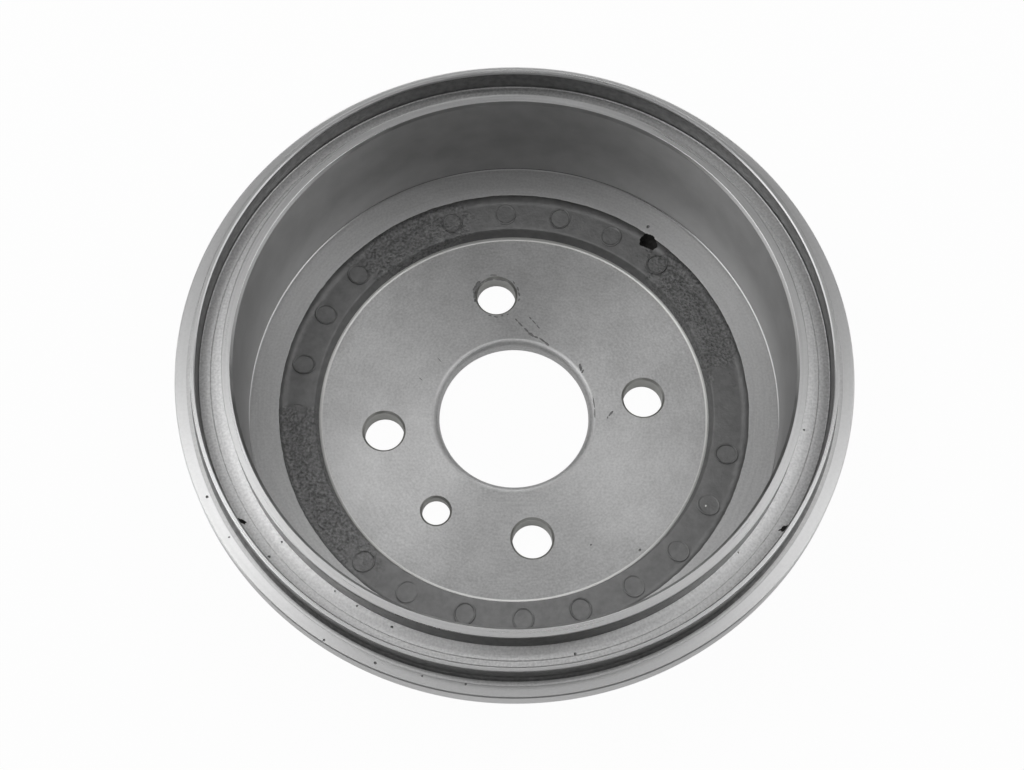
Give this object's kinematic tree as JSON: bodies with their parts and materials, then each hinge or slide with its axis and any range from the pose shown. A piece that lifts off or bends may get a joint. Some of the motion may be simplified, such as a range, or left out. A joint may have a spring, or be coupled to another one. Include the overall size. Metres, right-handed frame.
{
  "type": "brake drum",
  "caption": "Grey-iron brake drum lying open side up: turned friction bore, sealing fin and flange round the mouth, cast web with a bored and drilled hub face.",
  "frame": {"origin": "on the drum's axis, in the plane of the wheel seat that it lies on", "axes": "+Z along the axis, out of the open side; +X is the zero of the hole angles: the first wheel bolt hole is 8.6 degrees from it"},
  "size_m": [0.244, 0.244, 0.0704],
  "materials": {
    "casting": "fine-turned faces over as-cast grey iron"
  },
  "bodies": {
    "root": {"brake_drum": "casting"}
  },
  "joints": []
}
